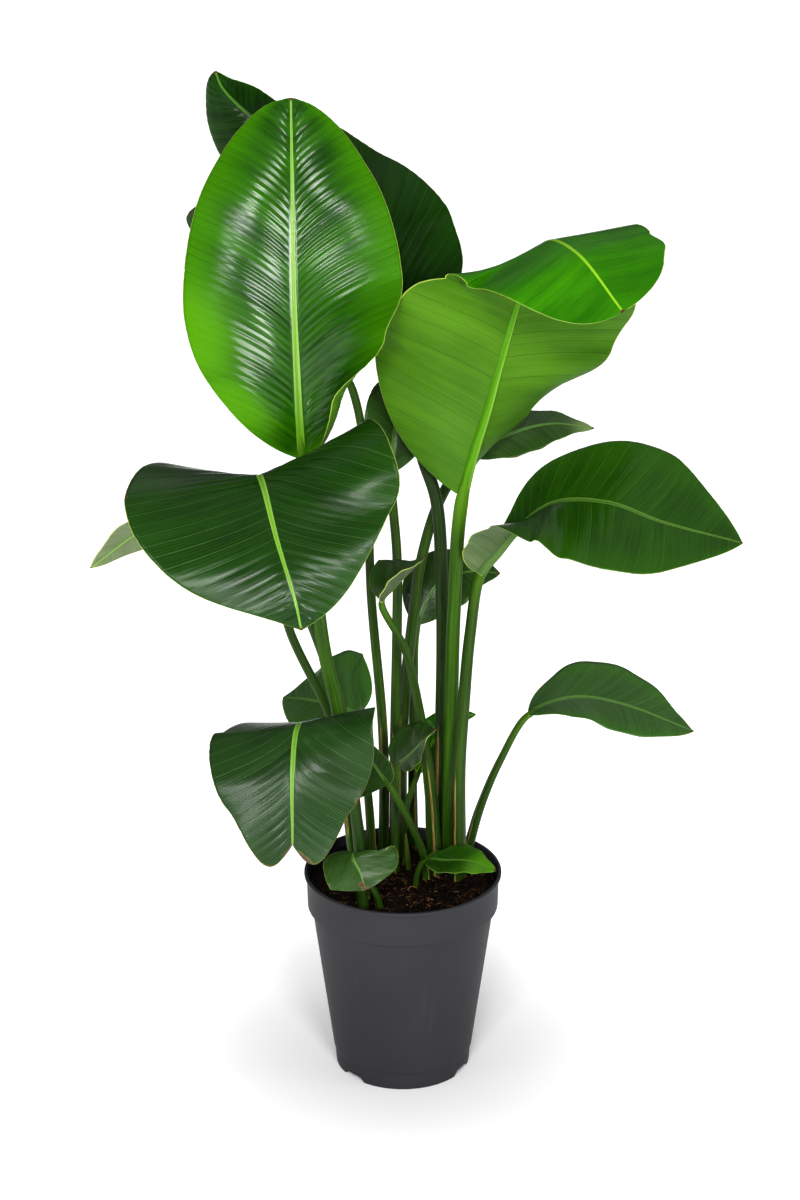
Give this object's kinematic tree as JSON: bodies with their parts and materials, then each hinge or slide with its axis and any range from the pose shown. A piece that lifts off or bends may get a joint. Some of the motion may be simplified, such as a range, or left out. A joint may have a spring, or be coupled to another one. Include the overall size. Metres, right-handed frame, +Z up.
{
  "type": "potted bird of paradise",
  "caption": "Tall bird of paradise plant with broad paddle-shaped leaves on long stalks, standing in soil in a round nursery pot.",
  "frame": {"origin": "centre of the pot's resting face, on the floor", "axes": "+Z up along the pot's axis, +X to the plant's right as seen from the front, -Y to the front"},
  "size_m": [0.7634, 0.3915, 1.2069],
  "materials": {
    "leaf_bright": "glossy young leaf, upper side smooth with fine side veins, underside pale and matte",
    "leaf_dark": "semi-gloss mature leaf with fine side veins, pale grey-green matte underside",
    "stalk": "smooth satin leaf stalk with pale ridges and dry red-brown sheath edges",
    "shoot": "smooth satin young shoot",
    "soil": "loose dark brown peat with fibres and crumbs",
    "pot": "moulded anthracite plastic, fine matte grain"
  },
  "bodies": {
    "root": {"leaf_front_top": "leaf_bright", "stalk_front_top": "stalk", "leaf_back_top": "leaf_dark", "stalk_back_top": "stalk", "leaf_arching": "leaf_bright", "stalk_arching": "stalk", "leaf_front_left": "leaf_dark", "stalk_front_left": "stalk", "leaf_right_high": "leaf_dark", "stalk_right_high": "stalk", "leaf_right_low": "leaf_dark", "stalk_right_low": "stalk", "leaf_far_left": "leaf_dark", "stalk_far_left": "stalk", "leaf_back_left": "leaf_dark", "stalk_back_left": "stalk", "leaf_middle_high": "leaf_dark", "stalk_middle_high": "stalk", "leaf_right_back": "leaf_dark", "stalk_right_back": "stalk", "leaf_middle_curled": "leaf_dark", "stalk_middle_curled": "stalk", "leaf_middle_back": "leaf_dark", "stalk_middle_back": "stalk", "leaf_left_back": "leaf_dark", "stalk_left_back": "stalk", "leaf_left_low": "leaf_dark", "stalk_left_low": "stalk", "leaf_middle_low": "leaf_dark", "stalk_middle_low": "stalk", "leaf_middle_folded": "leaf_dark", "stalk_middle_folded": "stalk", "leaf_right_small": "leaf_bright", "stalk_right_small": "stalk", "leaf_pot_left": "leaf_dark", "stalk_pot_left": "stalk", "leaf_pot_right": "leaf_bright", "stalk_pot_right": "stalk", "shoot_tall": "shoot", "shoot_short": "shoot", "soil": "soil", "pot": "pot"}
  },
  "joints": []
}
